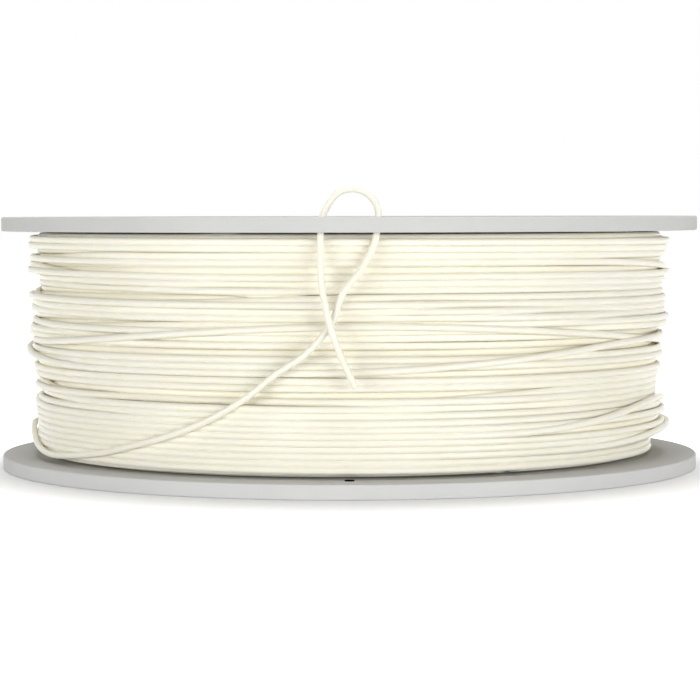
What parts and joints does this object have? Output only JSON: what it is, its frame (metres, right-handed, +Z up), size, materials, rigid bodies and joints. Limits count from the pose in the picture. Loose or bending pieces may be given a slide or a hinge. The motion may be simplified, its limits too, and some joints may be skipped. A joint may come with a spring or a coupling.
{
  "type": "filament spool",
  "caption": "Round two-flange spool full of thin plastic filament, with a through bore; the strand's free end is threaded through the upper flange.",
  "frame": {"origin": "centre of the lower flange's outer face, on the spool's axis, where it lies on a table", "axes": "+Z up along the spool's axis; -Y is the front, where the strand's free end goes up to the upper flange"},
  "size_m": [0.2, 0.2, 0.0798],
  "materials": {
    "spool_plastic": "light grey moulded plastic, satin",
    "filament_plastic": "natural ivory filament, soft gloss"
  },
  "bodies": {
    "root": {"lower_flange": "spool_plastic", "upper_flange": "spool_plastic", "hub_drum": "spool_plastic", "filament_inner_layers": "filament_plastic", "filament_outer_layer": "filament_plastic", "filament_tail": "filament_plastic"}
  },
  "joints": []
}
